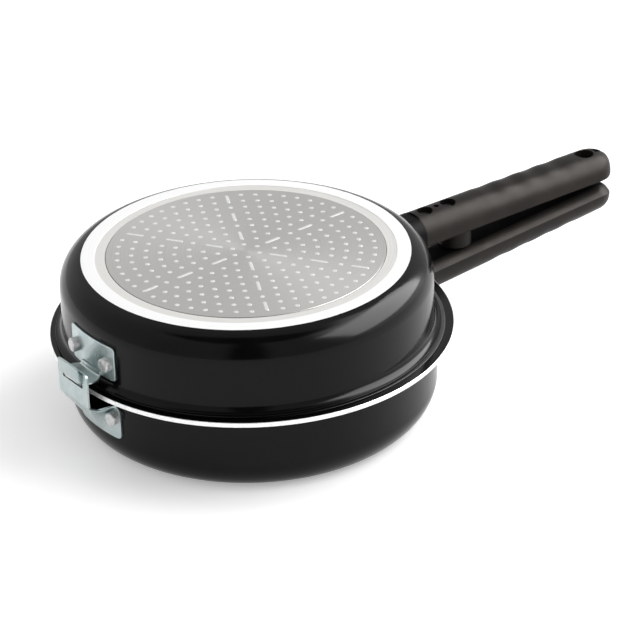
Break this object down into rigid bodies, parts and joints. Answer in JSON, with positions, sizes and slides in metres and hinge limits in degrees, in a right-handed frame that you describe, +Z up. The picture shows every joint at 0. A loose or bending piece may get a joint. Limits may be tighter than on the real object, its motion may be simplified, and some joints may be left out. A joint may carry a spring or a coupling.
{
  "type": "double sided flip pan",
  "caption": "Two frying pans hooked rim to rim by a slotted hinge, with smooth barrel-shaped bakelite grips and a magnet catch between them.",
  "frame": {"origin": "centre of the lower pan's foot, on the surface it stands on", "axes": "+X from the pan along the handles, +Z up through both pans, hinge at -X"},
  "size_m": [0.455, 0.2628, 0.1098],
  "materials": {
    "enamelled_aluminium": "gloss black enamel outside, dark non-stick inside, bright turned rim edge and foot ring",
    "base_steel": "pressed steel, satin",
    "silicone": "black, matt",
    "zinc_plated_steel": "bright bluish zinc plating",
    "rivet_aluminium": "satin, formed heads",
    "guard_black": "black, satin",
    "bakelite": "dark brown-black moulded phenolic, satin",
    "screw_steel": "bright plated",
    "magnet": "nickel plated ferrite disc"
  },
  "bodies": {
    "lower_pan": {"lower_flame_guard": "guard_black", "lower_grip": "bakelite", "lower_grip_screw_inner": "screw_steel", "lower_grip_screw_outer": "screw_steel", "lower_handle_bracket": "zinc_plated_steel", "lower_handle_rivet_left": "rivet_aluminium", "lower_handle_rivet_right": "rivet_aluminium", "lower_hinge_bracket": "zinc_plated_steel", "lower_hinge_rivet_left": "rivet_aluminium", "lower_hinge_rivet_right": "rivet_aluminium", "lower_induction_plate": "base_steel", "lower_keeper": "base_steel", "lower_pan_shell": "enamelled_aluminium", "rim_seal": "silicone"},
    "upper_pan": {"upper_flame_guard": "guard_black", "upper_grip": "bakelite", "upper_grip_screw_inner": "screw_steel", "upper_grip_screw_outer": "screw_steel", "upper_handle_bracket": "zinc_plated_steel", "upper_handle_rivet_left": "rivet_aluminium", "upper_handle_rivet_right": "rivet_aluminium", "upper_hinge_hook": "zinc_plated_steel", "upper_hinge_rivet_left": "rivet_aluminium", "upper_hinge_rivet_right": "rivet_aluminium", "upper_induction_plate": "base_steel", "upper_magnet": "magnet", "upper_magnet_cup": "bakelite", "upper_pan_shell": "enamelled_aluminium"}
  },
  "joints": [
    {"name": "fold", "type": "hinge", "parent": "lower_pan", "child": "upper_pan", "pos_m": [-0.138, 0, 0.069], "axis": [0, -1, 0], "range_deg": [0, 100]}
  ]
}
